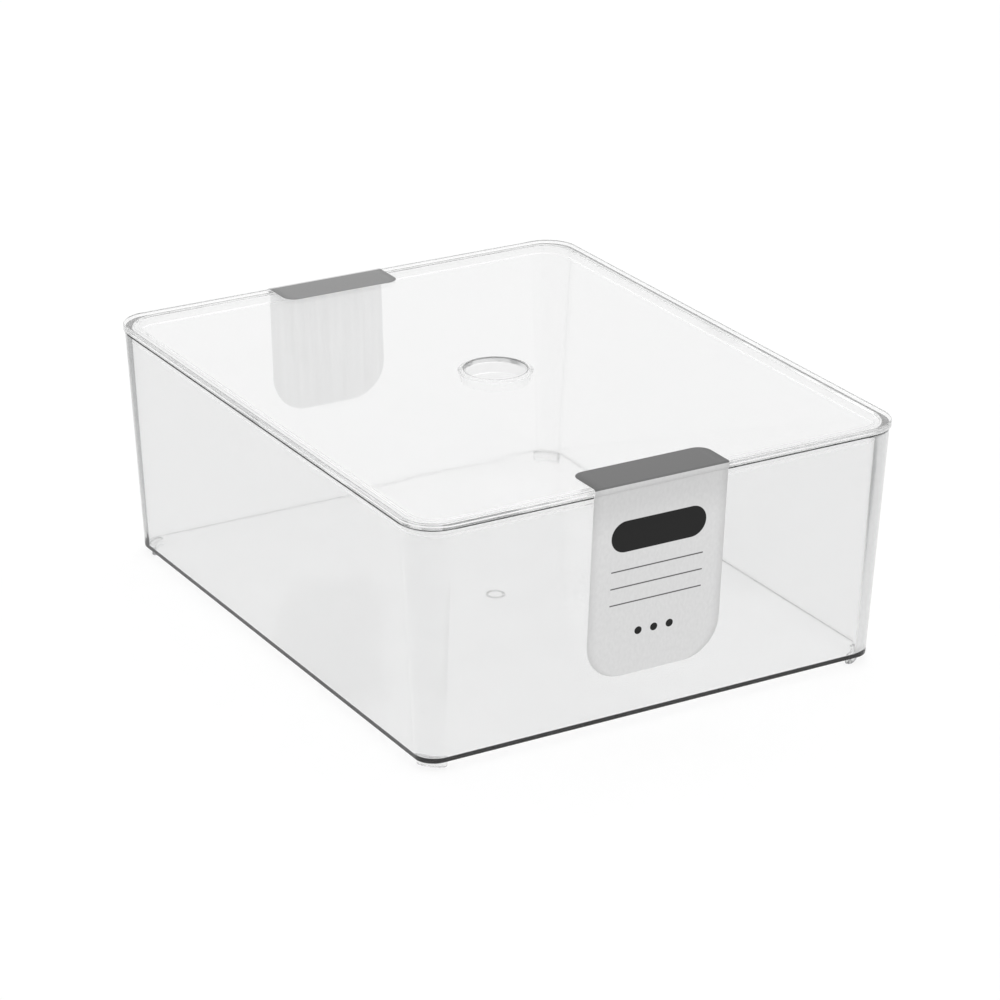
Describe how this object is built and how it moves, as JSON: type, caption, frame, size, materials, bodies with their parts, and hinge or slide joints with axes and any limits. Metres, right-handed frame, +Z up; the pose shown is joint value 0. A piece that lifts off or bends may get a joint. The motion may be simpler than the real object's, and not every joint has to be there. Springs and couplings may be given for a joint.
{
  "type": "clear storage box",
  "caption": "Low rectangular clear plastic box with drafted walls and round corners, a lift-off lid with a finger hole, moulded corner feet and paper seal labels.",
  "frame": {"origin": "under the middle of the box, level with the soles of its feet", "axes": "+Z up, the larger label on the front at -Y, +X to the right seen from the front, the long side along Y"},
  "size_m": [0.2, 0.2412, 0.0957],
  "materials": {
    "tub_plastic": "clear moulded polystyrene, polished",
    "lid_plastic": "clear moulded polystyrene, polished",
    "tab_paper": "dark grey printed label paper, satin",
    "panel_paper": "silver grey printed label paper, satin"
  },
  "bodies": {
    "tub": {"tub": "tub_plastic", "front_label_panel": "panel_paper", "rear_label_panel": "panel_paper"},
    "lid": {"lid": "lid_plastic", "front_label_tab": "tab_paper", "rear_label_tab": "tab_paper"}
  },
  "joints": [
    {"name": "lid_lift", "type": "slide", "parent": "tub", "child": "lid", "axis": [0, 0, 1], "range_m": [0, 0.06]}
  ]
}
